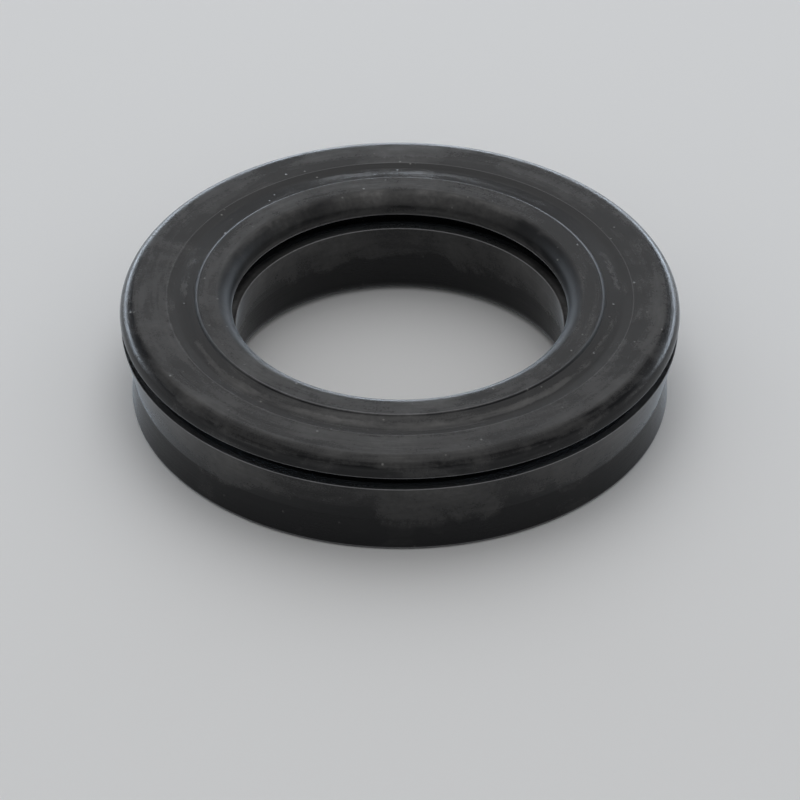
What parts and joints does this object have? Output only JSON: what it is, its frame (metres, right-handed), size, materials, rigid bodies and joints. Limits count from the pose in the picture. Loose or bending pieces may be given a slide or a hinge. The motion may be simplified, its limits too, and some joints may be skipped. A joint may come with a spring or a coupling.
{
  "type": "rod seal",
  "caption": "One-piece moulded rubber rod seal with a bull-nosed top flange and a sealing lip at the rod and at the housing.",
  "frame": {"origin": "centre of the flat base, on the ring's axis", "axes": "+Z along the ring's axis, from the base towards the flange's top face"},
  "size_m": [0.05, 0.05, 0.0105],
  "materials": {
    "black_rubber": "moulded nitrile-type rubber, satin black with faint grey smudges and dust"
  },
  "bodies": {
    "root": {"seal_ring": "black_rubber"}
  },
  "joints": []
}
